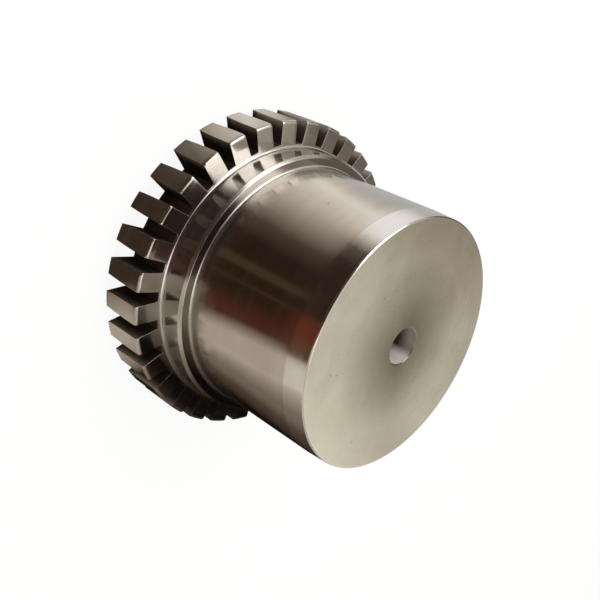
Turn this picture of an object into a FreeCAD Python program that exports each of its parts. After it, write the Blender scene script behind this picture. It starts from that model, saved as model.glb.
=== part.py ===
import FreeCAD, Part
import math
import os
import Sketcher

# Hub of a taper grid coupling: one steel forging, turned all over and slotted at its inner end.
# The hub's axis is Z. The toothed end face lies on Z = 0 and the plain end faces +Z.

# Driving dimensions: millimetres, and degrees for the angle
DIMENSIONS = [
    ("hub_length", 76.2, "toothed end face to plain end face"),
    ("barrel_diameter", 87.3, "turned barrel"),
    ("barrel_root_radius", 0.7, "fillet where the barrel meets the shoulder"),
    ("nose_length", 8.0, "finely tapered lead at the plain end"),
    ("nose_drop", 0.35, "how far the lead comes in at the plain end, on the radius"),
    ("nose_chamfer", 0.4, "chamfer round the plain end"),
    ("pilot_bore_diameter", 12.5, "rough drilled bore, right through"),
    ("pilot_bore_chamfer", 0.3, "chamfer at both mouths of the pilot bore"),
    ("shoulder_width", 4.05, "step from the barrel out to the polished land, on the radius"),
    ("land_length", 9.3, "polished land, from the teeth to its shoulder"),
    ("land_chamfer", 0.9, "chamfer round the shoulder of the land"),
    ("land_root_radius", 0.9, "fillet where the land meets the teeth"),
    ("tooth_length", 15.8, "toothed end face to the outer ends of the teeth"),
    ("tooth_depth", 7.95, "slot floor to tooth tip"),
    ("tooth_edge_radius", 1.0, "round between a tooth's tip and its outer end"),
    ("slot_count", 32, "slots for the grid spring"),
    ("slot_floor_rise", 1.4, "step from the land out to the flat slot floors, on the radius"),
    ("slot_mouth_width", 4.9, "slot at the tooth tips, in its straight stretch"),
    ("slot_wall_angle", 6.4, "lean of each slot wall from the slot's middle plane"),
    ("flare_length", 12.0, "stretch from the toothed end face in which the slot walls curve apart"),
    ("flare_radius", 170.0, "radius of the curved stretch of each slot wall"),
    ("cutter_run_out", 2.5, "how far a slot's cut runs past the teeth"),
]
SIZE = {name: value for name, value, note in DIMENSIONS}
BARREL_RADIUS = SIZE["barrel_diameter"] / 2
NOSE_RADIUS = BARREL_RADIUS - SIZE["nose_drop"]
LAND_RADIUS = BARREL_RADIUS + SIZE["shoulder_width"]
FLOOR_RADIUS = LAND_RADIUS + SIZE["slot_floor_rise"]
TIP_RADIUS = FLOOR_RADIUS + SIZE["tooth_depth"]
SHOULDER_HEIGHT = SIZE["tooth_length"] + SIZE["land_length"]
TOLERANCE = 1e-4


def fill_sheet(document):
    """Writes each dimension with its note, and names its cell after it."""
    sheet = document.addObject("Spreadsheet::Sheet", "Dimensions")
    for row, (name, value, note) in enumerate(DIMENSIONS, start=1):
        sheet.set(f"A{row}", name)
        sheet.set(f"B{row}", str(value))
        sheet.set(f"C{row}", note)
        sheet.setAlias(f"B{row}", name)
    document.recompute()


def origin_feature(body, role):
    """The body's own base plane or axis with this role."""
    for feature in body.Origin.OriginFeatures:
        if feature.Role == role:
            return feature
    raise ValueError(f"{body.Name} has no {role}")


def plane_sketch(body, name, role):
    """An empty sketch on one of the body's base planes."""
    sketch = body.newObject("Sketcher::SketchObject", name)
    sketch.AttachmentSupport = [(origin_feature(body, role), "")]
    sketch.MapMode = "FlatFace"
    return sketch


def bind(sketch, name, constraint, expression):
    """Adds a dimension to a sketch and ties it to the sheet."""
    index = sketch.addConstraint(constraint)
    sketch.renameConstraint(index, name)
    sketch.setExpression(f"Constraints.{name}", expression)


def add_outline(sketch, corners):
    """Draws straight sides through the corners, each square to the one before unless it leans."""
    count = len(corners)
    for index in range(count):
        start = FreeCAD.Vector(*corners[index], 0)
        end = FreeCAD.Vector(*corners[(index + 1) % count], 0)
        sketch.addGeometry(Part.LineSegment(start, end))
    for index in range(count):
        sketch.addConstraint(Sketcher.Constraint("Coincident", index, 2, (index + 1) % count, 1))
        run = corners[(index + 1) % count][0] - corners[index][0]
        rise = corners[(index + 1) % count][1] - corners[index][1]
        if abs(rise) < TOLERANCE:
            sketch.addConstraint(Sketcher.Constraint("Horizontal", index))
        elif abs(run) < TOLERANCE:
            sketch.addConstraint(Sketcher.Constraint("Vertical", index))


def turned_blank(body):
    """The forging as it leaves the lathe, with square corners, revolved about Z."""
    sketch = plane_sketch(body, "TurnedProfile", "XZ_Plane")
    add_outline(sketch, [
        (0, 0),
        (TIP_RADIUS, 0),
        (TIP_RADIUS, SIZE["tooth_length"]),
        (LAND_RADIUS, SIZE["tooth_length"]),
        (LAND_RADIUS, SHOULDER_HEIGHT),
        (BARREL_RADIUS, SHOULDER_HEIGHT),
        (BARREL_RADIUS, SIZE["hub_length"] - SIZE["nose_length"]),
        (NOSE_RADIUS, SIZE["hub_length"]),
        (0, SIZE["hub_length"]),
    ])
    # Sides in order: toothed face, tips, outer ends, land, shoulder, barrel, nose, plain face, axis
    toothed, tips, ends, land, shoulder, barrel, nose, plain, axis = range(9)
    sketch.addConstraint(Sketcher.Constraint("Coincident", toothed, 1, -1, 1))
    across = Sketcher.Constraint("DistanceX", -1, 1, barrel, 1, BARREL_RADIUS)
    bind(sketch, "barrel_radius", across, "Dimensions.barrel_diameter / 2")
    across = Sketcher.Constraint("DistanceX", nose, 2, nose, 1, SIZE["nose_drop"])
    bind(sketch, "nose_drop", across, "Dimensions.nose_drop")
    across = Sketcher.Constraint("DistanceX", shoulder, 2, shoulder, 1, SIZE["shoulder_width"])
    bind(sketch, "shoulder_width", across, "Dimensions.shoulder_width")
    across = Sketcher.Constraint("DistanceX", ends, 2, ends, 1, TIP_RADIUS - LAND_RADIUS)
    bind(sketch, "end_width", across, "Dimensions.slot_floor_rise + Dimensions.tooth_depth")
    up = Sketcher.Constraint("DistanceY", tips, 1, tips, 2, SIZE["tooth_length"])
    bind(sketch, "tooth_length", up, "Dimensions.tooth_length")
    up = Sketcher.Constraint("DistanceY", land, 1, land, 2, SIZE["land_length"])
    bind(sketch, "land_length", up, "Dimensions.land_length")
    up = Sketcher.Constraint("DistanceY", nose, 1, nose, 2, SIZE["nose_length"])
    bind(sketch, "nose_length", up, "Dimensions.nose_length")
    up = Sketcher.Constraint("DistanceY", -1, 1, plain, 1, SIZE["hub_length"])
    bind(sketch, "hub_length", up, "Dimensions.hub_length")

    blank = body.newObject("PartDesign::Revolution", "TurnedBlank")
    blank.Profile = sketch
    blank.ReferenceAxis = (sketch, ["V_Axis"])
    blank.Angle = 360
    return blank


def rim_names(feature, radius, height):
    """Names of the feature's whole circles about Z with this radius and height."""
    names = []
    for number, edge in enumerate(feature.Shape.Edges, start=1):
        if not isinstance(edge.Curve, Part.Circle):
            continue
        centre = edge.Curve.Center
        off_axis = math.hypot(centre.x, centre.y)
        same_place = off_axis < TOLERANCE and abs(centre.z - height) < TOLERANCE
        if same_place and abs(edge.Curve.Radius - radius) < TOLERANCE:
            names.append(f"Edge{number}")
    return names


def dress_rims(body, base, kind, name, rims, cell):
    """A fillet or chamfer, as large as the cell says, on the circles at these radii and heights."""
    body.Document.recompute()
    names = []
    for radius, height in rims:
        names += rim_names(base, radius, height)
    if len(names) < len(rims):
        raise ValueError(f"{name}: an edge is missing on {base.Name}")
    dress = body.newObject(f"PartDesign::{kind}", name)
    dress.Base = (base, names)
    size_property = "Radius" if kind == "Fillet" else "Size"
    dress.setExpression(size_property, f"Dimensions.{cell}")
    return dress


def dressed_blank(body, blank):
    """Breaks the turned corners: rounds at the roots and the tooth rim, chamfers at the free edges."""
    rims = [
        ("Fillet", "ToothRim", (TIP_RADIUS, SIZE["tooth_length"]), "tooth_edge_radius"),
        ("Fillet", "LandRoot", (LAND_RADIUS, SIZE["tooth_length"]), "land_root_radius"),
        ("Chamfer", "LandShoulder", (LAND_RADIUS, SHOULDER_HEIGHT), "land_chamfer"),
        ("Fillet", "BarrelRoot", (BARREL_RADIUS, SHOULDER_HEIGHT), "barrel_root_radius"),
        ("Chamfer", "NoseEdge", (NOSE_RADIUS, SIZE["hub_length"]), "nose_chamfer"),
    ]
    step = blank
    for kind, name, place, cell in rims:
        step = dress_rims(body, step, kind, name, [place], cell)
    return step


def pilot_bore(body, base):
    """The rough bore, drilled right through, with both mouths broken."""
    sketch = plane_sketch(body, "PilotCircle", "XY_Plane")
    circle = Part.Circle(FreeCAD.Vector(0, 0, 0), FreeCAD.Vector(0, 0, 1), SIZE["pilot_bore_diameter"] / 2)
    sketch.addGeometry(circle)
    sketch.addConstraint(Sketcher.Constraint("Coincident", 0, 3, -1, 1))
    bind(sketch, "bore_diameter", Sketcher.Constraint("Diameter", 0, SIZE["pilot_bore_diameter"]),
         "Dimensions.pilot_bore_diameter")
    bore = body.newObject("PartDesign::Pocket", "PilotBore")
    bore.Profile = sketch
    bore.Type = "ThroughAll"
    bore.Reversed = True
    radius = SIZE["pilot_bore_diameter"] / 2
    mouths = [(radius, 0), (radius, SIZE["hub_length"])]
    return dress_rims(body, bore, "Chamfer", "BoreMouths", mouths, "pilot_bore_chamfer")


def slot_half_width(radius):
    """Half of a straight slot's width, measured square to its middle plane at this radius."""
    lean = math.tan(math.radians(SIZE["slot_wall_angle"]))
    return SIZE["slot_mouth_width"] / 2 + (radius - TIP_RADIUS) * lean


def slot_section(body):
    """A slot's cross-section where its walls start to curve, with the two axes that they curve about."""
    sketch = plane_sketch(body, "SlotSection", "XY_Plane")
    sketch.setExpression("AttachmentOffset.Base.z", "Dimensions.flare_length")
    outside = TIP_RADIUS + SIZE["cutter_run_out"]
    foot = slot_half_width(FLOOR_RADIUS)
    mouth = slot_half_width(outside)
    add_outline(sketch, [(FLOOR_RADIUS, -foot), (FLOOR_RADIUS, foot), (outside, mouth), (outside, -mouth)])
    floor, upper_wall, open_side, lower_wall = range(4)
    sketch.addConstraint(Sketcher.Constraint("Equal", upper_wall, lower_wall))
    bind(sketch, "floor_radius", Sketcher.Constraint("DistanceX", -1, 1, floor, 1, FLOOR_RADIUS),
         "Dimensions.barrel_diameter / 2 + Dimensions.shoulder_width + Dimensions.slot_floor_rise")
    bind(sketch, "depth", Sketcher.Constraint("DistanceX", floor, 2, open_side, 1, outside - FLOOR_RADIUS),
         "Dimensions.tooth_depth + Dimensions.cutter_run_out")
    bind(sketch, "half_mouth", Sketcher.Constraint("DistanceY", -1, 1, open_side, 1, mouth),
         "Dimensions.slot_mouth_width / 2"
         " + Dimensions.cutter_run_out * tan(Dimensions.slot_wall_angle * 1 deg)")
    bind(sketch, "whole_mouth", Sketcher.Constraint("DistanceY", open_side, 2, open_side, 1, 2 * mouth),
         "2 * Constraints.half_mouth")
    bind(sketch, "lean", Sketcher.Constraint("Angle", upper_wall, math.radians(SIZE["slot_wall_angle"])),
         "Dimensions.slot_wall_angle * 1 deg")

    axis_offset = SIZE["slot_mouth_width"] / 2 + SIZE["flare_radius"]
    for side, name in [(1, "upper_axis"), (-1, "lower_axis")]:
        axis = sketch.addGeometry(Part.LineSegment(
            FreeCAD.Vector(0, side * axis_offset, 0), FreeCAD.Vector(outside, side * axis_offset, 0)))
        sketch.toggleConstruction(axis)
        sketch.addConstraint(Sketcher.Constraint("Horizontal", axis))
        sketch.addConstraint(Sketcher.Constraint("PointOnObject", axis, 1, -2))
        sketch.addConstraint(Sketcher.Constraint("Vertical", axis, 2, open_side, 1))
        ends = (-1, 1, axis, 1) if side > 0 else (axis, 1, -1, 1)
        bind(sketch, name, Sketcher.Constraint("DistanceY", *ends, axis_offset),
             "Dimensions.slot_mouth_width / 2 + Dimensions.flare_radius")
    return sketch


def flare_cut(body, name, section, axis, downwards):
    """Turns the section about one far axis, so that the wall on that side curves away from the other."""
    flare = body.newObject("PartDesign::Groove", name)
    flare.Profile = section
    flare.ReferenceAxis = (section, [axis])
    flare.setExpression("Angle", "asin((Dimensions.flare_length + Dimensions.cutter_run_out)"
                        " / Dimensions.flare_radius)")
    flare.Reversed = downwards
    body.Document.recompute()
    return flare


def grid_slots(body, base):
    """Cuts one slot, straight at the outer end and flared at the inner end, and repeats it round the hub."""
    section = slot_section(body)
    straight = body.newObject("PartDesign::Pocket", "StraightSlot")
    straight.Profile = section
    straight.Type = "Length"
    straight.Reversed = True
    straight.setExpression("Length", "Dimensions.tooth_length - Dimensions.flare_length"
                           " + Dimensions.cutter_run_out")
    body.Document.recompute()
    upper_flare = flare_cut(body, "UpperFlare", section, "Axis0", False)
    lower_flare = flare_cut(body, "LowerFlare", section, "Axis1", True)
    one_slot = base.Shape.Volume - lower_flare.Shape.Volume

    slots = body.newObject("PartDesign::PolarPattern", "GridSlots")
    slots.Originals = [straight, upper_flare, lower_flare]
    slots.Axis = (origin_feature(body, "Z_Axis"), [""])
    slots.Angle = 360
    slots.setExpression("Occurrences", "Dimensions.slot_count")
    slots.Refine = True
    body.Tip = slots
    body.Document.recompute()
    all_slots = base.Shape.Volume - slots.Shape.Volume
    if one_slot <= 0 or abs(all_slots / one_slot - SIZE["slot_count"]) > TOLERANCE:
        raise ValueError("the slots don't each cut the same metal away")


def coupling_hub(document):
    """The whole hub: turned, drilled, slotted."""
    body = document.addObject("PartDesign::Body", "CouplingHub")
    body.Label = "coupling_hub"
    blank = turned_blank(body)
    dressed = dressed_blank(body, blank)
    bored = pilot_bore(body, dressed)
    grid_slots(body, bored)
    return body


def check(document, bodies):
    """Stops if any object failed or any solid is unsound."""
    for item in document.Objects:
        if "Invalid" in item.State or "Error" in item.State:
            raise ValueError(f"{item.Name} failed: {item.State}")
    for body in bodies:
        if body.Shape.isNull() or not body.Shape.isValid() or len(body.Shape.Solids) != 1:
            raise ValueError(f"{body.Label} isn't one sound solid")


document = FreeCAD.newDocument("GridCouplingHub")
fill_sheet(document)
hub = coupling_hub(document)
check(document, [hub])

os.makedirs("parts", exist_ok=True)
hub.Shape.exportStep(f"parts/{hub.Label}.step")
box = hub.Shape.BoundBox
print(f"{hub.Label}: {hub.Shape.Volume / 1000:.2f} cm3, {len(hub.Shape.Faces)} faces, "
      f"{box.XLength:.2f} x {box.YLength:.2f} x {box.ZLength:.2f} mm")
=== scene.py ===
# %% [markdown]
# # A machined coupling hub in steel
# The object is one turned piece of steel: a smooth barrel with a flange at one end, and
# tapered slots cut through the flange so that teeth stand between them. A spring grid
# would lie in those slots and carry the turning force from this hub to its partner.
# The lesson builds the hub as a fine mesh, gives each machined surface its own finish,
# and then lays out a small studio, because polished steel shows little but its surroundings.

# %% Load the frame
import math
import bpy
import bmesh
from mathutils import Euler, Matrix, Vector


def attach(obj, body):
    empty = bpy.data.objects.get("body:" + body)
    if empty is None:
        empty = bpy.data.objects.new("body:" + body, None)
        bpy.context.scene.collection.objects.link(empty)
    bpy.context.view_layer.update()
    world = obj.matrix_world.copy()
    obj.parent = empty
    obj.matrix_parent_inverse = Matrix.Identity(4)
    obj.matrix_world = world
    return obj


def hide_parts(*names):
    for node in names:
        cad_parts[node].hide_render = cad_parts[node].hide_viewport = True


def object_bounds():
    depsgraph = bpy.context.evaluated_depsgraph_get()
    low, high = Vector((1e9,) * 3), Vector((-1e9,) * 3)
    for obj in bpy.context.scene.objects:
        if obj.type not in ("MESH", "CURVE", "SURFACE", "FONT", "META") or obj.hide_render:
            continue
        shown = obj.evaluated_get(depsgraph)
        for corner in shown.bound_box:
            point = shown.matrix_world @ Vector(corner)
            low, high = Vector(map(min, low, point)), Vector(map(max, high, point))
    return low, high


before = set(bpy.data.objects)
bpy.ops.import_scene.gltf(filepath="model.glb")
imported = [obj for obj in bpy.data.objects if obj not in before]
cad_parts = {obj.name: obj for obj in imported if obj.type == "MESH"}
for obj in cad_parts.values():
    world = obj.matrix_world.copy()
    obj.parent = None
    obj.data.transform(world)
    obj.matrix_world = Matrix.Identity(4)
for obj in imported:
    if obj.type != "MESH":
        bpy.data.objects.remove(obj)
solid_box = [list(corner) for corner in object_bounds()]
print("solid model, lowest and highest corner:", solid_box)

# %% [markdown]
# ## The sizes of the hub
# Blender works in metres and a machinist in millimetres, so one small value turns one
# into the other. The hub stands on its toothed end, with its axis on Z, and every size
# below is a radius about that axis, a height over the floor, or the size of an edge.

# %% The turned sizes
MM = 0.001
HUB_LENGTH = 76.2
BORE_RADIUS = 6.25
BORE_CHAMFER = 0.3
BARREL_RADIUS = 43.65
BARREL_ROOT = 0.7
NOSE_RADIUS = 43.3
NOSE_START = 68.2
NOSE_CHAMFER = 0.4
SHOULDER_HEIGHT = 25.1
LAND_RADIUS = 47.7
LAND_CHAMFER = 0.9
LAND_ROOT = 0.9
TOOTH_LENGTH = 15.8
TIP_RADIUS = 57.05
TIP_ROUND = 1.0
solid_length = (solid_box[1][2] - solid_box[0][2]) / MM
print("hub length:", HUB_LENGTH, " length of the solid model:", round(solid_length, 3))

# %% The sizes of the slots
SLOTS = 32
PITCH = 2 * math.pi / SLOTS
FLOOR_RADIUS = 49.1
MOUTH_WIDTH = 4.9
WALL_ANGLE = math.radians(6.4)
FLARE_LENGTH = 12.0
FLARE_RADIUS = 170.0
print("slots:", SLOTS, " pitch in degrees:", round(math.degrees(PITCH), 3))

# %% [markdown]
# ## The shape of one slot
# A slot is narrow at its floor and wide at its mouth, and its walls curve apart towards
# the toothed end, so that the grid can flex. A wall point follows from its radius and
# its height alone. The wall is a plane in the outer part, and part of a large circle in
# the flared part, so a formula gives it exactly, and no boolean cut is needed.

# %% Where a slot wall stands
def wall_offset(reach, height):
    """Half the slot's width, at a distance from the axis and a height."""
    half = MOUTH_WIDTH / 2 + (reach - TIP_RADIUS) * math.tan(WALL_ANGLE)
    if height >= FLARE_LENGTH:
        return half
    far = FLARE_RADIUS + MOUTH_WIDTH / 2
    return far - math.sqrt((far - half) ** 2 - (FLARE_LENGTH - height) ** 2)


print("slot width at the mouth:", round(2 * wall_offset(TIP_RADIUS, 0), 3), "mm at the toothed end")

# %% The angle at which a circle meets the wall
FIRST_GUESS = 0.03
ROUNDS = 12


def wall_angle(radius, height):
    """Starts from a guess and improves it, because the wall's width depends on the angle."""
    angle = FIRST_GUESS
    for _ in range(ROUNDS):
        angle = math.asin(wall_offset(radius * math.cos(angle), height) / radius)
    return angle


FLOOR_CORNER = math.atan2(wall_offset(FLOOR_RADIUS, TOOTH_LENGTH), FLOOR_RADIUS)
print("angle of the slot floor's corner in degrees:", round(math.degrees(FLOOR_CORNER), 3))

# %% [markdown]
# ## One pitch of the hub
# The hub repeats 32 times round its axis, so only one pitch is drawn: half a tooth, a
# slot and half a tooth. It is drawn as small sheets of four-sided faces, each a row of
# rings from one edge to the next. Neighbouring sheets share the points on their common
# edge, and are welded later. Each sheet also carries a zone number, which says which
# tool finished that surface: this picks its material.

# %% A drawing board for sheets
FACED, TURNED, NOSE, LAND, SHOULDER, TOOTH, TIP, SLOT, BORED = range(9)
SHORTEST_SIDE = 1e-7

board = bmesh.new()
zone = board.faces.layers.int.new("zone")


def polar(radius, angle, height):
    """A point in metres, from its distance to the axis, its angle and its height."""
    return (radius * math.cos(angle) * MM, radius * math.sin(angle) * MM, height * MM)


def sheet(rows, finish):
    """Joins rows of points with faces, and drops the sides that have no length."""
    for low, high in zip(rows, rows[1:]):
        for a, b, c, d in zip(low, low[1:], high[1:], high):
            corners = []
            for point in (a, b, c, d):
                if all(math.dist(point, other) > SHORTEST_SIDE for other in corners):
                    corners.append(point)
            if len(corners) > 2:
                face = board.faces.new([board.verts.new(point) for point in corners])
                face[zone] = finish
                face.smooth = True


# %% Rings that pass under the slots
FLOOR_COLUMNS = 2
TOOTH_COLUMNS = 3
ARC_STEPS = 8


def steps(start, end, count):
    """Evenly spaced values from start to end."""
    return [start + (end - start) * i / count for i in range(count + 1)]


HALF_RING = steps(0, FLOOR_CORNER, FLOOR_COLUMNS) + steps(FLOOR_CORNER, PITCH / 2, TOOTH_COLUMNS)[1:]
FULL_RING = [-angle for angle in reversed(HALF_RING[1:])] + HALF_RING


def turned_sheet(profile, finish):
    """Turns a line of (radius, height) points through one pitch."""
    sheet([[polar(radius, angle, height) for angle in FULL_RING] for radius, height in profile], finish)


def quarter(centre_r, centre_z, radius, start, end):
    """Points on a quarter circle, with 0 degrees outwards and 90 degrees up."""
    return [(centre_r + radius * math.cos(math.radians(a)), centre_z + radius * math.sin(math.radians(a)))
            for a in steps(start, end, ARC_STEPS)]


# %% The bore, the plain face and the nose
TOP = HUB_LENGTH
BORE_MOUTH = BORE_RADIUS + BORE_CHAMFER
BORE_RINGS = [BORE_CHAMFER] + steps(8, 68, 5) + [TOP - BORE_CHAMFER]
FACE_RADIUS = NOSE_RADIUS - NOSE_CHAMFER
FACE_RINGS = [BORE_MOUTH, 7.5, 10, 16, 24, 32, 39, 42, FACE_RADIUS]
NOSE_RINGS = [74.5, 72, 70, 68.5, NOSE_START]
nose_drop_per_mm = (BARREL_RADIUS - NOSE_RADIUS) / (TOP - NOSE_START)
nose_edge = (NOSE_RADIUS + nose_drop_per_mm * NOSE_CHAMFER, TOP - NOSE_CHAMFER)
nose_side = [(BARREL_RADIUS - nose_drop_per_mm * (z - NOSE_START), z) for z in NOSE_RINGS]

turned_sheet([(BORE_RADIUS, z) for z in BORE_RINGS], BORED)
turned_sheet([(BORE_RADIUS, TOP - BORE_CHAMFER), (BORE_MOUTH, TOP)], FACED)
turned_sheet([(BORE_RADIUS, BORE_CHAMFER), (BORE_MOUTH, 0)], FACED)
turned_sheet([(r, TOP) for r in FACE_RINGS], FACED)
turned_sheet([(FACE_RADIUS, TOP), nose_edge], NOSE)
turned_sheet([nose_edge] + nose_side, NOSE)
print("faces drawn for the bore, the plain face and the nose of one pitch:", len(board.faces))

# %% The barrel, the shoulder and the land
BARREL_FOOT = SHOULDER_HEIGHT + BARREL_ROOT
BARREL_RINGS = [NOSE_START, 67.9, 64, 56, 48, 40, 33, 28, BARREL_FOOT]
SHOULDER_RINGS = [BARREL_RADIUS + BARREL_ROOT, 45.6, LAND_RADIUS - LAND_CHAMFER]
LAND_TOP = SHOULDER_HEIGHT - LAND_CHAMFER
LAND_FOOT = TOOTH_LENGTH + LAND_ROOT
LAND_RINGS = [LAND_TOP, 22.5, 20.5, 18.5, LAND_FOOT]
ROOT_RING = LAND_RADIUS + LAND_ROOT
END_RINGS = [BORE_MOUTH, 8, 14, 24, 34, 42, ROOT_RING]

turned_sheet([(BARREL_RADIUS, z) for z in BARREL_RINGS], TURNED)
turned_sheet(quarter(BARREL_RADIUS + BARREL_ROOT, BARREL_FOOT, BARREL_ROOT, 180, 270), TURNED)
turned_sheet([(r, SHOULDER_HEIGHT) for r in SHOULDER_RINGS], SHOULDER)
turned_sheet([(LAND_RADIUS - LAND_CHAMFER, SHOULDER_HEIGHT), (LAND_RADIUS, LAND_TOP)], LAND)
turned_sheet([(LAND_RADIUS, z) for z in LAND_RINGS], LAND)
turned_sheet(quarter(ROOT_RING, LAND_FOOT, LAND_ROOT, 180, 270), LAND)
turned_sheet([(r, 0) for r in END_RINGS], FACED)
print("faces drawn for all the turned surfaces of one pitch:", len(board.faces))

# %% [markdown]
# ## The toothed part of the pitch
# Further out, each ring is cut by the slot. A ring there runs from the slot's wall to the
# middle of the tooth, and it is drawn twice, as a right and a left half. The slot's floor
# is flat, as the cutter leaves it, so its points lie on a straight line and not on a
# circle. The round between a tooth's end and its tip is a quarter circle.

# %% Rings that the slots cut
GRID_RADII = [50.6, 52.4, 54.2, TIP_RADIUS - TIP_ROUND]
EDGE_RADII = [TIP_RADIUS - TIP_ROUND / 2, TIP_RADIUS]
GRID_HEIGHTS = [0, 2, 4, 6, 8, 10, FLARE_LENGTH, TOOTH_LENGTH - TIP_ROUND]
EDGE_HEIGHTS = [TOOTH_LENGTH - TIP_ROUND / 2, TOOTH_LENGTH]


def wall_point(radius, height):
    """A point of the wall as (radius, angle, height). No radius means the slot's floor."""
    if radius is None:
        side = wall_offset(FLOOR_RADIUS, height)
        return (math.hypot(FLOOR_RADIUS, side), math.atan2(side, FLOOR_RADIUS), height)
    return (radius, wall_angle(radius, height), height)


def tooth_row(radius, height):
    """Points from the slot wall to the middle of the tooth, on one ring."""
    ring, start, height = wall_point(radius, height)
    return [(ring, angle, height) for angle in steps(start, PITCH / 2, TOOTH_COLUMNS)]


def floor_row(height):
    """Points across half of the slot's flat floor."""
    side = wall_offset(FLOOR_RADIUS, height)
    return [(math.hypot(FLOOR_RADIUS, y), math.atan2(y, FLOOR_RADIUS), height)
            for y in steps(0, side, FLOOR_COLUMNS)]


def both_sides(rows, finish):
    """Draws a sheet on the right of the slot and its mirror image on the left."""
    sheet([[polar(*point) for point in row] for row in rows], finish)
    sheet([[polar(radius, -angle, height) for radius, angle, height in row] for row in rows], finish)


# %% The teeth and the slot of one pitch
ROUND_R = TIP_RADIUS - TIP_ROUND
ROUND_Z = TOOTH_LENGTH - TIP_ROUND
tip_arc = quarter(ROUND_R, ROUND_Z, TIP_ROUND, 90, 0)
all_heights = GRID_HEIGHTS + EDGE_HEIGHTS
all_radii = [None] + GRID_RADII + EDGE_RADII

for height in (TOOTH_LENGTH, 0):
    inner_row = [(ROOT_RING, angle, height) for angle in HALF_RING]
    outer_row = floor_row(height) + tooth_row(None, height)[1:]
    both_sides([inner_row, outer_row], TOOTH if height else FACED)
both_sides([tooth_row(r, TOOTH_LENGTH) for r in [None] + GRID_RADII], TOOTH)
both_sides([tooth_row(r, z) for r, z in tip_arc], TIP)
both_sides([tooth_row(TIP_RADIUS, z) for z in reversed(GRID_HEIGHTS)], TIP)
both_sides([tooth_row(r, 0) for r in all_radii], FACED)
both_sides([floor_row(z) for z in all_heights], SLOT)
both_sides([[wall_point(r, z) for z in GRID_HEIGHTS] for r in all_radii], SLOT)
both_sides([[wall_point(r, z) for z in [GRID_HEIGHTS[-1]] + EDGE_HEIGHTS] for r in [None] + GRID_RADII], SLOT)
both_sides([[wall_point(r, z) for r, z in quarter(ROUND_R, ROUND_Z, reach, 90, 0)]
            for reach in (0, TIP_ROUND / 2, TIP_ROUND)], SLOT)
print("faces drawn for one pitch:", len(board.faces))

# %% The pitch becomes an object
WELD_DISTANCE = 2e-6
bmesh.ops.remove_doubles(board, verts=board.verts, dist=WELD_DISTANCE)
bmesh.ops.recalc_face_normals(board, faces=board.faces)
highest = max(board.faces, key=lambda face: face.calc_center_median().z)
if highest.normal.z < 0:
    bmesh.ops.reverse_faces(board, faces=board.faces)
pitch_mesh = bpy.data.meshes.new("one_pitch")
board.to_mesh(pitch_mesh)
board.free()
hub = bpy.data.objects.new("machined_hub", pitch_mesh)
bpy.context.collection.objects.link(hub)
print("points in one pitch after welding:", len(pitch_mesh.vertices))

# %% [markdown]
# ## Patterns in the steel
# Every surface of the hub is the same steel, but each tool leaves its own marks. A lathe
# leaves fine rings, a cutter leaves fine lines, and handling leaves faint stains, specks
# and small pits. Each of these is a shader group with its own inputs, built once, so
# that every finish can use it with its own values. All read Object coordinates, so the
# marks stay with the steel.

# %% Helpers for node trees
def add(tree, kind, settings=None, values=None):
    """Adds a node, sets its options, and fills or links its inputs."""
    made = tree.nodes.new(kind)
    for key, value in (settings or {}).items():
        setattr(made, key, value)
    for key, value in (values or {}).items():
        if isinstance(value, bpy.types.NodeSocket):
            tree.links.new(value, made.inputs[key])
        else:
            made.inputs[key].default_value = value
    return made


def maths(tree, operation, *values, clamp=False):
    """One Math node, which gives its result."""
    settings = {"operation": operation, "use_clamp": clamp}
    return add(tree, "ShaderNodeMath", settings, dict(enumerate(values))).outputs[0]


def remap(tree, value, low, high, new_low, new_high):
    """Turns the range from low to high into the range from new_low to new_high."""
    return add(tree, "ShaderNodeMapRange", {"clamp": True}, {
        "Value": value, "From Min": low, "From Max": high, "To Min": new_low, "To Max": new_high}).outputs[0]


# %% A helper that starts a shader group
FLOAT = "NodeSocketFloat"
VECTOR = "NodeSocketVector"


def new_group(name, inputs, outputs):
    """Starts a shader group. Inputs are (name, kind, default), outputs are (name, kind)."""
    tree = bpy.data.node_groups.new(name, "ShaderNodeTree")
    for label, kind, default in inputs:
        socket = tree.interface.new_socket(label, in_out="INPUT", socket_type=kind)
        if default is not None:
            socket.default_value = default
    for label, kind in outputs:
        tree.interface.new_socket(label, in_out="OUTPUT", socket_type=kind)
    return tree, tree.nodes.new("NodeGroupInput"), tree.nodes.new("NodeGroupOutput")


# %% The lathe's rings
BROAD_RINGS = 0.22
lathe_marks, given, result = new_group(
    "Lathe marks",
    [("Position", VECTOR, None), ("By Radius", FLOAT, 0.0), ("Ring Spacing", FLOAT, 0.0004),
     ("Arc Length", FLOAT, 2.0)],
    [("Height", FLOAT), ("Streaks", FLOAT)])
x, y, z = add(lathe_marks, "ShaderNodeSeparateXYZ", values={0: given.outputs["Position"]}).outputs
by_radius = given.outputs["By Radius"]
arc_length = given.outputs["Arc Length"]

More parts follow.
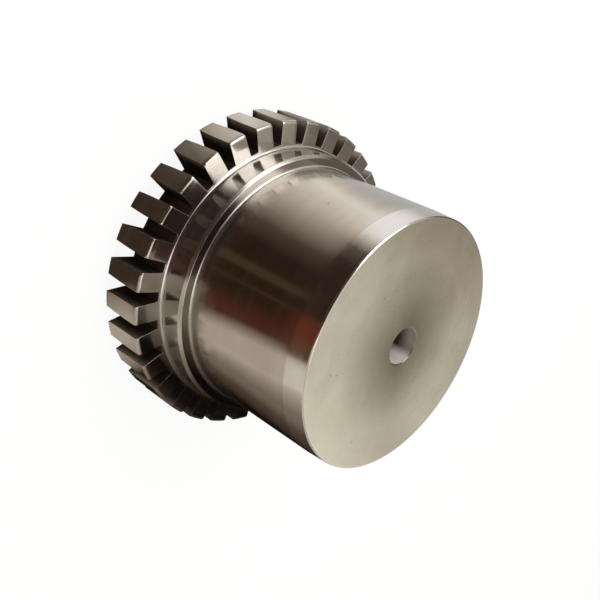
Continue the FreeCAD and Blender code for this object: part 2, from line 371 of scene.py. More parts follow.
x_squared = maths(lathe_marks, "MULTIPLY", x, x)
y_squared = maths(lathe_marks, "MULTIPLY", y, y)
radius = maths(lathe_marks, "SQRT", maths(lathe_marks, "ADD", x_squared, y_squared))
along_face = maths(lathe_marks, "MULTIPLY", radius, by_radius)
along_side = maths(lathe_marks, "MULTIPLY", z, maths(lathe_marks, "SUBTRACT", 1.0, by_radius))
across = maths(lathe_marks, "DIVIDE", maths(lathe_marks, "ADD", along_face, along_side),
               given.outputs["Ring Spacing"])
turn_x = maths(lathe_marks, "MULTIPLY", maths(lathe_marks, "DIVIDE", x, radius), arc_length)
turn_y = maths(lathe_marks, "MULTIPLY", maths(lathe_marks, "DIVIDE", y, radius), arc_length)
fine_place = add(lathe_marks, "ShaderNodeCombineXYZ", values={0: turn_x, 1: turn_y, 2: across})
broad_place = add(lathe_marks, "ShaderNodeCombineXYZ", values={
    0: turn_x, 1: turn_y, 2: maths(lathe_marks, "MULTIPLY", across, BROAD_RINGS)})
fine = add(lathe_marks, "ShaderNodeTexNoise", values={
    "Vector": fine_place.outputs[0], "Scale": 1.0, "Detail": 3.0, "Roughness": 0.6})
broad = add(lathe_marks, "ShaderNodeTexNoise", values={
    "Vector": broad_place.outputs[0], "Scale": 0.8, "Detail": 2.0, "Roughness": 0.5})
lathe_marks.links.new(fine.outputs[0], result.inputs["Height"])
lathe_marks.links.new(broad.outputs[0], result.inputs["Streaks"])
print("group:", lathe_marks.name)

# %% Specks and small pits
SMALLEST_SPECK = 0.4
specks, given, result = new_group(
    "Specks and pits",
    [("Position", VECTOR, None), ("Spacing", FLOAT, 0.003), ("Size", FLOAT, 0.06), ("Share", FLOAT, 0.3)],
    [("Mask", FLOAT)])
cells = add(specks, "ShaderNodeTexVoronoi", {"feature": "F1", "voronoi_dimensions": "3D"}, {
    "Vector": given.outputs["Position"], "Scale": maths(specks, "DIVIDE", 1.0, given.outputs["Spacing"])})
chance = add(specks, "ShaderNodeSeparateColor", values={0: cells.outputs["Color"]})
spread = maths(specks, "ADD", chance.outputs[1], SMALLEST_SPECK)
size = maths(specks, "MULTIPLY", given.outputs["Size"], spread)
dot = maths(specks, "LESS_THAN", cells.outputs["Distance"], size)
kept = maths(specks, "LESS_THAN", chance.outputs[0], given.outputs["Share"])
specks.links.new(maths(specks, "MULTIPLY", dot, kept), result.inputs["Mask"])
print("group:", specks.name)

# %% Handling stains
SMUDGES_PER_CLOUD = 3.4
stains, given, result = new_group(
    "Handling stains",
    [("Position", VECTOR, None), ("Spread", FLOAT, 0.02), ("Smear", FLOAT, 0.5)],
    [("Cloud", FLOAT), ("Smudge", FLOAT)])
cloud = add(stains, "ShaderNodeTexNoise", values={
    "Vector": given.outputs["Position"], "Scale": maths(stains, "DIVIDE", 1.0, given.outputs["Spread"]),
    "Detail": 4.0, "Roughness": 0.55, "Distortion": 0.4})
smudge = add(stains, "ShaderNodeTexNoise", values={
    "Vector": given.outputs["Position"],
    "Scale": maths(stains, "DIVIDE", SMUDGES_PER_CLOUD, given.outputs["Spread"]),
    "Detail": 6.0, "Roughness": 0.7, "Distortion": given.outputs["Smear"]})
stains.links.new(remap(stains, cloud.outputs[0], 0.3, 0.7, 0.0, 1.0), result.inputs["Cloud"])
stains.links.new(remap(stains, smudge.outputs[0], 0.42, 0.68, 0.0, 1.0), result.inputs["Smudge"])
print("group:", stains.name)

# %% Wear along the edges
edge_wear, given, result = new_group(
    "Edge wear", [("Position", VECTOR, None), ("Reach", FLOAT, 0.0005)], [("Mask", FLOAT)])
rounded = add(edge_wear, "ShaderNodeBevel", {"samples": 6}, {"Radius": given.outputs["Reach"]})
true_normal = add(edge_wear, "ShaderNodeNewGeometry")
likeness = add(edge_wear, "ShaderNodeVectorMath", {"operation": "DOT_PRODUCT"}, {
    0: rounded.outputs[0], 1: true_normal.outputs["Normal"]})
patches = add(edge_wear, "ShaderNodeTexNoise", values={
    "Vector": given.outputs["Position"], "Scale": 260.0, "Detail": 3.0})
edge = remap(edge_wear, likeness.outputs["Value"], 0.985, 0.90, 0.0, 1.0)
patchy = remap(edge_wear, patches.outputs[0], 0.35, 0.6, 0.35, 1.0)
edge_wear.links.new(maths(edge_wear, "MULTIPLY", edge, patchy), result.inputs["Mask"])
print("group:", edge_wear.name)

# %% [markdown]
# ## Marks, painted shade and painted light that lie only in places
# Some marks belong to one part of a surface. A facing tool cuts slowly near the axis and
# tears the steel there. Painted shade darkens one side of the bore and its depth. The turning
# tool leaves the barrel matt where it stops at the shoulder, and handling rubs the mouths of
# the slots rough, where painted light also brightens them. Each helper gives a share from
# 0 to 1, or an amount, that fades with the distance from the axis or with the height.

# %% Shares that fade with distance or height
TORN_CORE = 6 * MM
SOUND_STEEL = 30 * MM
CLEAR_OF_SHOULDER = 7
# How far into the slots the painted light and the rubbing at their mouths reach.
LIT_MOUTH_DEPTH = 3.0
# How strong the painted shade in the bore is, deep inside and near its mouths.
DEEP_BORE_SHADE = 0.98
MOUTH_BORE_SHADE = 0.6


def from_axis(tree, position):
    """How far a point of the surface lies from the axis, in metres."""
    flat = add(tree, "ShaderNodeVectorMath", {"operation": "MULTIPLY"}, {0: position, 1: (1, 1, 0)})
    return add(tree, "ShaderNodeVectorMath", {"operation": "LENGTH"}, {0: flat.outputs[0]}).outputs["Value"]


def torn_core(tree, position, most):
    """Most beside the bore, and nothing from 30 mm outwards."""
    return remap(tree, from_axis(tree, position), TORN_CORE, SOUND_STEEL, most, 0.0)


def rubbed_mouth(tree, position, most):
    """Painted light and rubbing at the slot mouths: none inside the slots, most at the tips of the teeth."""
    inner_end = (TIP_RADIUS - LIT_MOUTH_DEPTH) * MM
    return remap(tree, from_axis(tree, position), inner_end, TIP_RADIUS * MM, 0.0, most)


def matt_root(tree, position, most):
    """Most where the barrel meets the shoulder, and nothing a few millimetres further up."""
    height = add(tree, "ShaderNodeSeparateXYZ", values={0: position}).outputs[2]
    return remap(tree, height, BARREL_FOOT * MM, (SHOULDER_HEIGHT + CLEAR_OF_SHOULDER) * MM, most, 0.0)


def painted_bore_shade(tree, position, depth):
    """Painted shade on one side of the bore, strong deep inside, weaker within the depth from its mouths."""
    side, _, height = add(tree, "ShaderNodeSeparateXYZ", values={0: position}).outputs
    half_length = TOP * MM / 2
    from_middle = maths(tree, "ABSOLUTE", maths(tree, "SUBTRACT", height, half_length))
    depth_shade = remap(tree, from_middle, half_length - depth * 1.2, half_length - depth * 0.5,
                 DEEP_BORE_SHADE, MOUTH_BORE_SHADE)
    shaded_side = remap(tree, side, 0.1 * BORE_RADIUS * MM, 0.5 * BORE_RADIUS * MM, 1.0, 0.0)
    return maths(tree, "MULTIPLY", depth_shade, shaded_side)


# %% [markdown]
# ## The finishes
# A finish is a Principled shader with the groups above feeding its colour, its roughness
# and a Bump node. The steel is metallic all over, except in the bore, where rough drilling
# hides part of it. Turned surfaces spread their highlights across the rings, which
# the Anisotropic value does, with a tangent that runs round the axis. Such constants sit on
# the shader's own sockets. One helper makes every finish, and only its values differ.

# %% What wear and dirt do to the steel
TORN_TINT = (0.40, 0.39, 0.36)
# The tint of the painted shade in the bore.
BORE_SHADE_TINT = (0.04, 0.02, 0.01)
SPECK_TINT = (0.35, 0.32, 0.28)
# The colour of the painted light at the slot mouths.
PAINTED_MOUTH_LIGHT = (0.86, 0.80, 0.74)
WORN_GAIN = 1.15
WORN_SHARE = 0.6
SPECK_SHARE = 0.75
SPECK_ROUGHNESS = 0.3
PIT_DEPTH = 3.0
RUBBED_ROUGHNESS = 0.35
SMUDGE_ROUGHNESS = 0.5
STAIN_SPREAD = 0.018
USUAL_SPECKS = (0.004, 0.05, 0.15)


def mix(tree, share, first, second):
    """Mixes two colours, each a socket or three numbers."""
    ends = [end if isinstance(end, bpy.types.NodeSocket) else (*end, 1) for end in (first, second)]
    return add(tree, "ShaderNodeMix", {"data_type": "RGBA"}, {0: share, 6: ends[0], 7: ends[1]}).outputs[2]


def tinted(colour, tint):
    """A colour times a tint."""
    return [part * factor for part, factor in zip(colour, tint)]


# %% The colour of a finish
def steel_colour(tree, position, groups, dark, light, grain, places):
    """places says how strongly the torn core, the bore's painted shade and the slot mouths' painted light
    show.
    """
    marks, stain, wear, dots = groups
    tone = maths(tree, "ADD", maths(tree, "MULTIPLY", marks.outputs["Streaks"], grain),
                 maths(tree, "MULTIPLY", stain.outputs["Cloud"], 1 - grain), clamp=True)
    colour = mix(tree, tone, dark, light)
    if places.get("torn"):
        colour = mix(tree, torn_core(tree, position, places["torn"]), colour, tinted(dark, TORN_TINT))
    # Painted shade, deep in the bore and on one side of it.
    if places.get("oily"):
        colour = mix(tree, painted_bore_shade(tree, position, places["oily"]), colour, tinted(dark, BORE_SHADE_TINT))
    # Painted light at the slot mouths, where light falls into the slots.
    if places.get("rubbed"):
        colour = mix(tree, rubbed_mouth(tree, position, places["rubbed"]), colour, PAINTED_MOUTH_LIGHT)
    worn_steel = [min(1, part * WORN_GAIN) for part in light]
    colour = mix(tree, maths(tree, "MULTIPLY", wear.outputs["Mask"], WORN_SHARE), colour, worn_steel)
    speck_share = maths(tree, "MULTIPLY", dots.outputs["Mask"], SPECK_SHARE)
    return mix(tree, speck_share, colour, tinted(dark, SPECK_TINT))


# %% The roughness of a finish
def steel_roughness(tree, position, groups, rough, places):
    """places says how strongly matt_root and the rubbing at the slot mouths show."""
    marks, stain, _, dots = groups
    lowest, highest = rough
    streaky = remap(tree, marks.outputs["Streaks"], 0.3, 0.7, lowest, highest)
    smudged = maths(tree, "MULTIPLY", stain.outputs["Smudge"], (highest - lowest) * SMUDGE_ROUGHNESS)
    roughness = maths(tree, "ADD", streaky, smudged)
    if places.get("matt"):
        roughness = maths(tree, "ADD", roughness, matt_root(tree, position, places["matt"]))
    if places.get("rubbed"):
        rubbed = rubbed_mouth(tree, position, places["rubbed"])
        roughness = maths(tree, "ADD", roughness, maths(tree, "MULTIPLY", rubbed, RUBBED_ROUGHNESS))
    return maths(tree, "ADD", roughness, maths(tree, "MULTIPLY", dots.outputs["Mask"], SPECK_ROUGHNESS))


# %% One helper for every steel finish
def steel(name, dark, light, by_radius, spacing, rough, rings, grain=0.5, anisotropy=0.0,
          specks_like=USUAL_SPECKS, metallic=1.0, edge_tint=(1, 1, 1), **places):
    """Makes a steel finish.

    dark and light are the two ends of its colour, and rough is its lowest and highest
    roughness. by_radius is 1 where the tool moved along a face and 0 where it moved along
    a side, spacing is how far apart its rings are and rings how deep they are, in metres,
    and grain is how much they show in the colour. specks_like is (spacing, size, share).
    edge_tint is how bright the steel turns where it is seen at a shallow angle. torn and matt
    are marks that lie only in places; the other two put painted shade deep in the bore and on
    one side of it, and painted light with rubbing at the mouths of the slots.
    """
    material = bpy.data.materials.new(name)
    material.use_nodes = True
    tree = material.node_tree
    tree.nodes.clear()
    shader = add(tree, "ShaderNodeBsdfPrincipled", values={
        "Metallic": metallic, "Specular Tint": (*edge_tint, 1), "Anisotropic": anisotropy,
        "Anisotropic Rotation": 0.25})
    add(tree, "ShaderNodeOutputMaterial", values={"Surface": shader.outputs[0]})
    if anisotropy:
        tangent = add(tree, "ShaderNodeTangent", {"direction_type": "RADIAL", "axis": "Z"})
        tree.links.new(tangent.outputs[0], shader.inputs["Tangent"])

    position = add(tree, "ShaderNodeTexCoord").outputs["Object"]
    marks = add(tree, "ShaderNodeGroup", {"node_tree": lathe_marks}, {
        "Position": position, "By Radius": by_radius, "Ring Spacing": spacing})
    stain = add(tree, "ShaderNodeGroup", {"node_tree": stains}, {
        "Position": position, "Spread": STAIN_SPREAD})
    wear = add(tree, "ShaderNodeGroup", {"node_tree": edge_wear}, {"Position": position})
    dots = add(tree, "ShaderNodeGroup", {"node_tree": specks}, {"Position": position})
    for key, value in zip(("Spacing", "Size", "Share"), specks_like):
        dots.inputs[key].default_value = value
    groups = (marks, stain, wear, dots)

    colour = steel_colour(tree, position, groups, dark, light, grain, places)
    roughness = steel_roughness(tree, position, groups, rough, places)
    pits = maths(tree, "MULTIPLY", dots.outputs["Mask"], PIT_DEPTH)
    relief = maths(tree, "SUBTRACT", marks.outputs["Height"], pits)
    bump = add(tree, "ShaderNodeBump", values={"Strength": 1.0, "Distance": rings, "Height": relief})
    tree.links.new(colour, shader.inputs["Base Color"])
    tree.links.new(roughness, shader.inputs["Roughness"])
    tree.links.new(bump.outputs[0], shader.inputs["Normal"])
    return material


# %% Finishes of the turned surfaces
finishes = {
    FACED: steel("faced_steel", (0.53, 0.505, 0.415), (0.71, 0.68, 0.61), by_radius=1.0, spacing=0.0009,
                 rough=(0.25, 0.31), rings=0.15e-6, grain=0.35, anisotropy=0.75,
                 specks_like=(0.0024, 0.080, 0.28), torn=0.95),
    TURNED: steel("polished_steel", (0.64, 0.61, 0.57), (0.76, 0.73, 0.69), by_radius=0.0, spacing=0.0006,
                  rough=(0.11, 0.16), rings=0.3e-6, grain=0.6, anisotropy=0.6,
                  specks_like=(0.006, 0.035, 0.12), matt=0.10),
    NOSE: steel("nose_steel", (0.68, 0.66, 0.64), (0.84, 0.83, 0.81), by_radius=0.0, spacing=0.0005,
                rough=(0.12, 0.18), rings=0.6e-6, grain=0.6, anisotropy=0.5, specks_like=(0.004, 0.04, 0.15)),
    LAND: steel("land_steel", (0.60, 0.57, 0.54), (0.76, 0.74, 0.71), by_radius=0.0, spacing=0.0006,
                rough=(0.15, 0.20), rings=0.5e-6, grain=0.5, anisotropy=0.3),
    # The shoulder is a darker copy of the steel: painted shade in the step at the barrel's foot.
    SHOULDER: steel("shoulder_steel_painted_shade", (0.24, 0.22, 0.20), (0.36, 0.34, 0.32), by_radius=1.0, spacing=0.0004,
                    rough=(0.08, 0.12), rings=0.5e-6, grain=0.9, anisotropy=0.3),
}
print("turned finishes:", [material.name for material in finishes.values()])

# %% Finishes of the teeth, the slots and the bore
finishes.update({
    # The tooth faces are a darker copy of the steel: painted shade.
    TOOTH: steel("tooth_steel_painted_shade", (0.36, 0.34, 0.32), (0.47, 0.45, 0.43), by_radius=1.0, spacing=0.0006,
                 rough=(0.08, 0.12), rings=0.5e-6, grain=0.6, anisotropy=0.3),
    TIP: steel("ground_steel", (0.50, 0.47, 0.43), (0.70, 0.67, 0.62), by_radius=0.0, spacing=0.0005,
               rough=(0.16, 0.26), rings=1.2e-6, grain=0.7, anisotropy=0.4),
    # The slot walls are a darker copy of the steel, with a darker edge tint: painted shade in the slots.
    SLOT: steel("slot_steel_painted_shade", (0.13, 0.105, 0.085), (0.31, 0.27, 0.24), by_radius=0.0, spacing=0.0008,
                rough=(0.28, 0.40), rings=1.5e-6, grain=0.7, edge_tint=(0.50, 0.46, 0.42), rubbed=0.5),
    # The bore gets painted shade deep inside and on one side.
    BORED: steel("drilled_steel", (0.88, 0.84, 0.80), (0.97, 0.95, 0.93), by_radius=0.0, spacing=0.0006,
                 rough=(0.34, 0.46), rings=3.0e-6, grain=0.7, metallic=0.35, anisotropy=0.8, oily=0.0055),
})
print("all finishes:", [material.name for material in finishes.values()])

# %% [markdown]
# ## Repeating the pitch
# On the machine, the cutter goes round the flange slot by slot with a dividing head. A
# Geometry Nodes tree does the same here: it makes one point for each slot, places a copy
# of the pitch on each, turned a little further every time, and welds the seams. It could
# also be done with a loop in code, but the tree keeps the number of slots as one input.
# The tree ends by making real geometry and giving each zone its finish.

# %% The inputs of the dividing head
dividing = bpy.data.node_groups.new("Dividing head", "GeometryNodeTree")
dividing.interface.new_socket("Geometry", in_out="INPUT", socket_type="NodeSocketGeometry")
for label, kind in (("Slots", "NodeSocketInt"), ("Weld Distance", "NodeSocketFloat")):
    dividing.interface.new_socket(label, in_out="INPUT", socket_type=kind)
for finish in finishes.values():
    dividing.interface.new_socket("Finish " + finish.name, in_out="INPUT", socket_type="NodeSocketMaterial")
dividing.interface.new_socket("Geometry", in_out="OUTPUT", socket_type="NodeSocketGeometry")
start = dividing.nodes.new("NodeGroupInput")
end = dividing.nodes.new("NodeGroupOutput")
print("tree inputs:", [item.name for item in dividing.interface.items_tree])

# %% The dividing head, as a node tree
points = add(dividing, "GeometryNodePoints", values={"Count": start.outputs["Slots"]})
share = add(dividing, "ShaderNodeMath", {"operation": "DIVIDE"}, {0: math.tau, 1: start.outputs["Slots"]})
turn = add(dividing, "ShaderNodeMath", {"operation": "MULTIPLY"}, {
    0: add(dividing, "GeometryNodeInputIndex").outputs[0], 1: share.outputs[0]})
angles = add(dividing, "ShaderNodeCombineXYZ", values={2: turn.outputs[0]})
copies = add(dividing, "GeometryNodeInstanceOnPoints", values={
    "Points": points.outputs[0], "Instance": start.outputs["Geometry"], "Rotation": angles.outputs[0]})
real = add(dividing, "GeometryNodeRealizeInstances", values={0: copies.outputs[0]})
welded = add(dividing, "GeometryNodeMergeByDistance", values={
    "Geometry": real.outputs[0], "Distance": start.outputs["Weld Distance"]})
shape = welded.outputs[0]
zone_number = add(dividing, "GeometryNodeInputNamedAttribute", {"data_type": "INT"}, {"Name": "zone"})
for number, finish in finishes.items():
    chosen = add(dividing, "FunctionNodeCompare", {"data_type": "INT", "operation": "EQUAL"}, {
        2: zone_number.outputs[0], 3: number})
    painted = add(dividing, "GeometryNodeSetMaterial", values={
        "Geometry": shape, "Selection": chosen.outputs[0],
        "Material": start.outputs["Finish " + finish.name]})
    shape = painted.outputs[0]
dividing.links.new(shape, end.inputs[0])
print("nodes in the tree:", len(dividing.nodes))

# %% The tree is set on the pitch
indexing = hub.modifiers.new("Dividing head", "NODES")
indexing.node_group = dividing
settings = {"Slots": SLOTS, "Weld Distance": WELD_DISTANCE}
settings.update({"Finish " + finish.name: finish for finish in finishes.values()})
for item in dividing.interface.items_tree:
    if item.in_out == "INPUT" and item.name in settings:
        indexing[item.identifier] = settings[item.name]
print("values set on the tree:", len(settings))

# %% [markdown]
# ## Breaking the edges
# No machined edge is perfectly sharp: a deburring pass leaves a tiny round that catches
# the light. A Bevel modifier gives every sharp edge such a break, and Weighted Normal
# keeps the large faces flat right up to it. The evaluated result is then kept as a plain
# mesh, and the modifiers are removed.

# %% Edge breaks, then a plain mesh
EDGE_BREAK = 0.10
SHARP_ANGLE = 40
FACE_WEIGHT = 80
broken = hub.modifiers.new("Edge breaks", "BEVEL")
broken.width = EDGE_BREAK * MM
broken.segments = 2
broken.limit_method = "ANGLE"
broken.angle_limit = math.radians(SHARP_ANGLE)
evened = hub.modifiers.new("Even normals", "WEIGHTED_NORMAL")
evened.keep_sharp = False
evened.weight = FACE_WEIGHT

graph = bpy.context.evaluated_depsgraph_get()
hub_mesh = bpy.data.meshes.new_from_object(hub.evaluated_get(graph), depsgraph=graph)
hub.modifiers.clear()
hub.data = hub_mesh
hub_mesh.name = "machined_hub"

# %% The mesh is closed
tester = bmesh.new()
tester.from_mesh(hub_mesh)
open_edges = sum(1 for edge in tester.edges if not edge.is_manifold)
volume = tester.calc_volume(signed=True)
tester.free()
print("faces:", len(hub_mesh.polygons), " open edges:", open_edges, " volume in cm3:", round(volume * 1e6, 3))

# %% The hub takes the solid's place
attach(hub, "root")
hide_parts("coupling_hub")

# %% [markdown]
# ## The floor
# The hub stands on a wide white floor. To a camera or to the polished steel the floor
# shows as plain white, with the hub's soft shadow kept on it. Light Path tells the two
# kinds of ray apart, so the white never adds light to the hub.

# %% A white floor that keeps the shadow
FLOOR_REACH = 4.0
FLOOR_DROP = 0.00005
LIGHTING_WHITE = (0.82, 0.81, 0.80, 1)
SHADOW_WHITE = (0.96, 0.96, 0.96, 1)
PLAIN_WHITE = (1, 1, 1, 1)
WHITE_SHARE = 0.90


def seen_rays(tree):
    """1 for a ray that shows this surface to the camera or in a mirror, 0 for one that only lights."""
    path = add(tree, "ShaderNodeLightPath")
    mirrored = maths(tree, "ADD", path.outputs["Is Glossy Ray"], path.outputs["Is Transmission Ray"])
    return maths(tree, "ADD", path.outputs["Is Camera Ray"], mirrored, clamp=True)


bpy.ops.mesh.primitive_circle_add(
    vertices=96, radius=FLOOR_REACH, fill_type="NGON", location=(0, 0, -FLOOR_DROP))
floor = bpy.context.object
floor.name = "studio_floor"
white = bpy.data.materials.new("white_floor")
white.use_nodes = True
tree = white.node_tree
tree.nodes.clear()
lighting = add(tree, "ShaderNodeBsdfDiffuse", values={"Color": LIGHTING_WHITE})
shadow = add(tree, "ShaderNodeBsdfDiffuse", values={"Color": SHADOW_WHITE})
shown = add(tree, "ShaderNodeEmission", values={"Color": PLAIN_WHITE, "Strength": 1.0})
blend = add(tree, "ShaderNodeMixShader", values={0: WHITE_SHARE, 1: shadow.outputs[0], 2: shown.outputs[0]})
choice = add(tree, "ShaderNodeMixShader", values={
    0: seen_rays(tree), 1: lighting.outputs[0], 2: blend.outputs[0]})
add(tree, "ShaderNodeOutputMaterial", values={"Surface": choice.outputs[0]})
floor.data.materials.append(white)
print("floor, metres across:", 2 * FLOOR_REACH)

# %% [markdown]
# ## Cards for the steel to mirror
# Polished steel in an all-white studio looks like paper, so a photographer lays cards
# round it, dark ones for contrast and light ones for soft highlights. Only mirror-like
# rays can see the cards here: the camera looks through them, and they take no light from
# the hub. A card is a strip between two rims, made of ribs that carry a tone each, and
# the tone runs smoothly from rib to rib.

# %% A strip of card
def card(name, ribs):
    """ribs is a list of (near point, far point, near tone, far tone), in millimetres."""
    mesh = bmesh.new()
    paint = mesh.loops.layers.float_color.new("tone")
    for (a, b, tone_a, tone_b), (d, c, tone_d, tone_c) in zip(ribs, ribs[1:]):
        face = mesh.faces.new([mesh.verts.new([v * MM for v in point]) for point in (a, b, c, d)])
        for loop, tone in zip(face.loops, (tone_a, tone_b, tone_c, tone_d)):
            loop[paint] = (*tone, 1)
    data = bpy.data.meshes.new(name)
    mesh.to_mesh(data)
    mesh.free()
    piece = bpy.data.objects.new(name, data)
    bpy.context.collection.objects.link(piece)
    look = bpy.data.materials.new(name)
    look.use_nodes = True
    look.node_tree.nodes.clear()
    tone = add(look.node_tree, "ShaderNodeVertexColor", {"layer_name": "tone"})
    glow = add(look.node_tree, "ShaderNodeEmission", values={"Color": tone.outputs[0], "Strength": 1.0})
    add(look.node_tree, "ShaderNodeOutputMaterial", values={"Surface": glow.outputs[0]})
    data.materials.append(look)
    piece.visible_camera = piece.visible_diffuse = piece.visible_shadow = piece.visible_transmission = False


# %% A card that goes round the hub
DEGREES_PER_RIB = 3


def fan(tones, near, far, lift=1.0):
    """Ribs round the hub's axis, from a list of (angle in degrees, tone).

    near and far are the (radius, height) of the two rims, and lift is how many times
    brighter the far rim is than the near one.
    """
    ribs = []
    for (a, first), (b, second) in zip(tones, tones[1:]):
        count = max(1, round((b - a) / DEGREES_PER_RIB))
        for i in range(count + 1):
            angle, t = math.radians(a + (b - a) * i / count), i / count
            tone = tuple(p + (q - p) * t for p, q in zip(first, second))
            ribs.append(([near[0] * math.cos(angle), near[0] * math.sin(angle), near[1]],
                         [far[0] * math.cos(angle), far[0] * math.sin(angle), far[1]],
                         tone, tuple(v * lift for v in tone)))
    return ribs


# %% The tones of the cards, from light to dark
PAPER_WHITE = (1.0, 0.98, 0.96)
WARM_WHITE = (0.92, 0.87, 0.81)
STONE = (0.68, 0.61, 0.54)
WARM_GREY = (0.56, 0.49, 0.42)
PLASTER = (0.53, 0.50, 0.44)
ASH = (0.52, 0.515, 0.495)
SAND = (0.49, 0.42, 0.36)
LINEN = (0.42, 0.397, 0.344)
DULL_GREY = (0.31, 0.26, 0.21)
DUSK_GREY = (0.20, 0.165, 0.13)
BRICK = (0.122, 0.024, 0.011)
UMBER = (0.100, 0.045, 0.018)
DUSK = (0.085, 0.060, 0.045)
RED_BROWN = (0.076, 0.023, 0.014)
OLIVE = (0.062, 0.044, 0.022)
EARTH = (0.050, 0.030, 0.021)
BROWN_BLACK = (0.028, 0.014, 0.008)
INK = (0.018, 0.012, 0.009)
SOOT = (0.004, 0.002, 0.001)

# %% [markdown]
# ## Three rings on the floor
# The barrel is a round mirror that shows the floor in long bands, from the root of the
# barrel, which mirrors the floor close by, to the nose, which mirrors it far away. Three
# rings lie there: the narrow one is what the tips of the teeth and the barrel's root
# mirror, the next is for the barrel, and the wide one for the nose. The angles count from
# +X towards +Y, in degrees.

# %% The ring beside the teeth
CARD_HEIGHT = 0.1
RIM_START = 57.1
NEAR_START = 70
FAR_START = 128
FAR_END = 300
# Its dark side, from -27 to 150 degrees, is a painted shadow beside the hub for the steel to mirror.
card("rim_card", fan([
    (-200, WARM_GREY), (-184, WARM_GREY), (-176, DULL_GREY), (-168, DULL_GREY), (-160, STONE),
    (-146, WARM_WHITE), (-134, STONE), (-121, DUSK_GREY), (-109, DUSK), (-96, EARTH), (-68, EARTH),
    (-62, DULL_GREY), (-54, WARM_GREY), (-45, WARM_GREY), (-33, DULL_GREY), (-27, SOOT), (150, SOOT),
    (160, WARM_GREY)], (RIM_START, CARD_HEIGHT), (NEAR_START, CARD_HEIGHT)))
print("ring from", RIM_START, "to", NEAR_START, "mm")

# %% The ring that the barrel mirrors
card("near_card", fan([
    (-250, ASH), (-194, ASH), (-184, STONE), (-174, WARM_WHITE), (-156, STONE), (-136, DULL_GREY),
    (-123, DUSK), (-110, BROWN_BLACK), (-98, BROWN_BLACK), (-95, OLIVE), (-91.5, OLIVE), (-90, BROWN_BLACK),
    (-83, BROWN_BLACK), (-82, OLIVE), (-81, BROWN_BLACK), (-76, BROWN_BLACK), (-64, RED_BROWN),
    (-59, RED_BROWN), (-48.5, SAND), (-34, SAND), (-8, WARM_GREY), (20, DULL_GREY),
    (60, INK)], (NEAR_START, CARD_HEIGHT), (FAR_START, CARD_HEIGHT)))
print("ring from", NEAR_START, "to", FAR_START, "mm")

# %% The ring that the nose mirrors
card("far_card", fan([
    (-250, ASH), (-206, ASH), (-192, WARM_WHITE), (-182, PAPER_WHITE), (-164, PAPER_WHITE),
    (-157, WARM_WHITE), (-150, WARM_GREY), (-140, DUSK), (-128, BROWN_BLACK), (-84, BROWN_BLACK),
    (-79, BRICK), (-68, BRICK), (-62, UMBER), (-54, UMBER), (-50, WARM_GREY), (-44, STONE), (-26, STONE),
    (-8, WARM_GREY), (20, DULL_GREY), (60, INK)], (FAR_START, CARD_HEIGHT), (FAR_END, CARD_HEIGHT)))
print("ring from", FAR_START, "to", FAR_END, "mm")

# %% [markdown]
# ## Cards that stand
# A dark disc under the flange is a painted shadow: it hides the white floor from the slots,
# which are open underneath. On the camera's side, dark cards stand just outside the rings and
# bend over the hub at the top, for the ends of the teeth. A low one across from them darkens
# the rim of the nose, and a leaning one stands close to the side of the barrel that is lowest
# in the picture; its dark part is a painted shadow too.

# %% The shadow disc, the dark cards and the leaning card
DISC_RIMS = (6.0, -0.02), (57.3, -0.02)
STAND_RADIUS = 330
STAND_TOP = 480
LOW_TOP = 180
BEND_END = (60, 640)
LEANING_FOOT = (59.5, 4)
LEANING_TOP = (44.8, 70)
# A painted shadow under the flange, where the hub covers the floor.
card("painted_shadow_disc", fan([(0, INK), (360, INK)], *DISC_RIMS))
standing = [(-142, DULL_GREY), (-130, BROWN_BLACK), (-84, BROWN_BLACK), (-76, RED_BROWN), (-62, RED_BROWN)]
card("standing_card", fan(standing, (STAND_RADIUS, 0), (STAND_RADIUS, STAND_TOP)))
card("bending_card", fan(standing, (STAND_RADIUS, STAND_TOP), BEND_END))
low = [(98, LINEN), (106, DUSK), (150, DUSK), (160, LINEN)]
card("low_card", fan(low, (STAND_RADIUS, 0), (STAND_RADIUS, LOW_TOP)))
# The leaning card is dark from y = -5 mm on: a painted shadow for the steel to mirror.
leaning_shade_tones = [(-46, WARM_GREY), (-36, DULL_GREY), (-30, DUSK_GREY), (-27, DUSK_GREY), (-20, DUSK), (-13, EARTH),
           (-5, SOOT), (120, SOOT)]
card("leaning_shadow_card", [([LEANING_FOOT[0], y, LEANING_FOOT[1]], [LEANING_TOP[0], y, LEANING_TOP[1]], tone, tone)
                      for y, tone in leaning_shade_tones])
print("cards that stand round the hub: 4, and 1 disc under it")

# %% [markdown]
# ## Grey walls and a grey ceiling
# The plain face mirrors what is across from the camera, and seen from above it mirrors the
# ceiling. Grey walls, lighter towards the top, and a grey ceiling keep it from turning as
# white as paper, and a back wall gives it a darker side.

# %% The walls and the ceiling
WALL_RADIUS = 1700
WALL_TOP = 2900
WALL_LIFT = 1.9
BACK_WALL = 600
BACK_WALL_FOOT = 120
BACK_WALL_TOP = 620
back_wall = [(-380, STONE), (-250, DULL_GREY), (-110, DULL_GREY), (0, WARM_GREY)]
card("wall_card", [([x, BACK_WALL, BACK_WALL_FOOT], [x, BACK_WALL, BACK_WALL_TOP], tone, tone)
                   for x, tone in back_wall])
card("grey_walls", fan([
    (-180, LINEN), (-60, LINEN), (-38, DULL_GREY), (-16, LINEN), (50, LINEN), (66, PLASTER), (77, PLASTER),
    (88, LINEN), (180, LINEN)], (WALL_RADIUS, 0), (WALL_RADIUS, WALL_TOP), lift=WALL_LIFT))
card("grey_ceiling", fan([(0, LINEN), (360, LINEN)], (1, WALL_TOP), (WALL_RADIUS, WALL_TOP)))
print("walls and ceiling, metres:", WALL_RADIUS * MM, "away and", WALL_TOP * MM, "up")

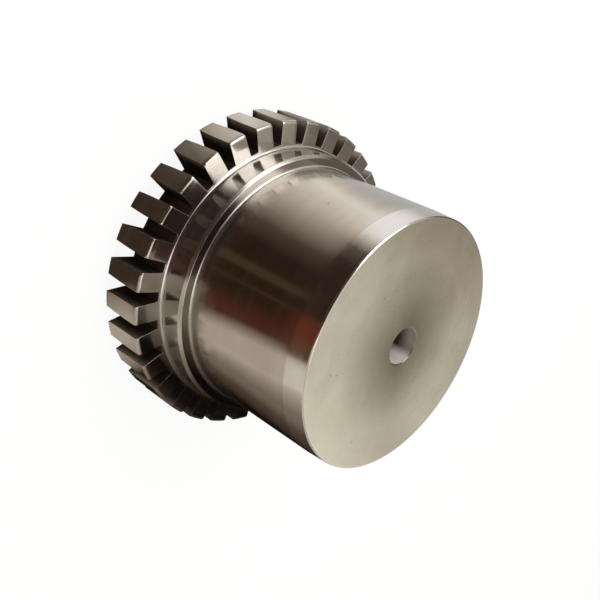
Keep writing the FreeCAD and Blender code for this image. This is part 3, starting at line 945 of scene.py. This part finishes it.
# %% [markdown]
# ## Soft light
# One wide softbox hangs overhead, a second one, as bright as a window, stands at the left,
# and a third, a faint one, stands behind the hub. The world is a pale warm grey that is brighter
# overhead, so that a face turned to the ceiling is lighter than one turned to the wall.
# The camera and the steel see that world as plain white, as they do the floor.

# %% Softboxes
def softbox(name, place, aim, width, depth, radiance, colour):
    """A rectangular lamp. Its power follows from its size and from how bright it looks."""
    lamp = bpy.data.lights.new(name, "AREA")
    lamp.shape = "RECTANGLE"
    lamp.size = width
    lamp.size_y = depth
    lamp.energy = radiance * math.pi * width * depth
    lamp.color = colour
    piece = bpy.data.objects.new(name, lamp)
    piece.location = place
    piece.rotation_euler = (Vector(aim) - Vector(place)).to_track_quat("-Z", "Y").to_euler()
    bpy.context.collection.objects.link(piece)
    print("softbox:", name, " watts:", round(lamp.energy, 2))


LOW_AIM = (0, 0, 0.03)
HIGH_AIM = (0, 0, 0.06)
softbox("overhead_softbox", (-0.15, -0.10, 0.85), LOW_AIM, width=1.05, depth=1.05, radiance=0.95,
        colour=(1, 0.985, 0.96))
softbox("window_softbox", (-0.655, -0.12, 0.68), LOW_AIM, width=0.6, depth=0.7, radiance=1.8,
        colour=(1, 0.99, 0.98))
softbox("side_softbox", (0.66, 0.84, 0.70), HIGH_AIM, width=0.8, depth=0.8, radiance=0.5,
        colour=(1, 0.97, 0.90))

# %% World
BELOW_GREY = (0.40, 0.37, 0.32, 1)
WALL_GREY = (0.55, 0.52, 0.45, 1)
CEILING_GREY = (0.80, 0.79, 0.77, 1)
world = bpy.data.worlds.new("studio_walls")
bpy.context.scene.world = world
world.use_nodes = True
tree = world.node_tree
tree.nodes.clear()
direction = add(tree, "ShaderNodeTexCoord").outputs["Generated"]
upwards = add(tree, "ShaderNodeSeparateXYZ", values={0: direction}).outputs[2]
ramp = add(tree, "ShaderNodeValToRGB", values={0: upwards})
below, ceiling = ramp.color_ramp.elements
below.position = 0.0
below.color = BELOW_GREY
ceiling.position = 0.85
ceiling.color = CEILING_GREY
middle = ramp.color_ramp.elements.new(0.5)
middle.color = WALL_GREY
wall = add(tree, "ShaderNodeBackground", values={"Color": ramp.outputs[0], "Strength": 1.0})
clear = add(tree, "ShaderNodeBackground", values={"Color": PLAIN_WHITE, "Strength": 1.0})
pick = add(tree, "ShaderNodeMixShader", values={0: seen_rays(tree), 1: wall.outputs[0], 2: clear.outputs[0]})
add(tree, "ShaderNodeOutputWorld", values={"Surface": pick.outputs[0]})
bpy.context.scene.view_settings.view_transform = "Standard"

# %% [markdown]
# ## The camera
# The camera looks down on the hub at about 32 degrees and is rolled, so that the hub's
# plain end points to the lower right of the picture. A small sideways shift stands for
# the way in which the picture was cropped.

# %% The camera
CAMERA_PLACE = (-0.01648, -0.21464, 0.20428)
CAMERA_TURN = (-34.805, -49.135, 131.616)
PICTURE_SIDE = 600
PICTURE_SHIFT = -100
lens = bpy.data.cameras.new("photo_camera")
lens.sensor_width = 36.0
lens.lens = 47.192
lens.shift_x = PICTURE_SHIFT / PICTURE_SIDE
lens.clip_start = 0.01
camera = bpy.data.objects.new("photo_camera", lens)
camera.location = CAMERA_PLACE
camera.rotation_euler = Euler([math.radians(angle) for angle in CAMERA_TURN], "XYZ")
bpy.context.collection.objects.link(camera)
bpy.context.scene.camera = camera
print("camera, focal length in mm:", round(lens.lens, 3))
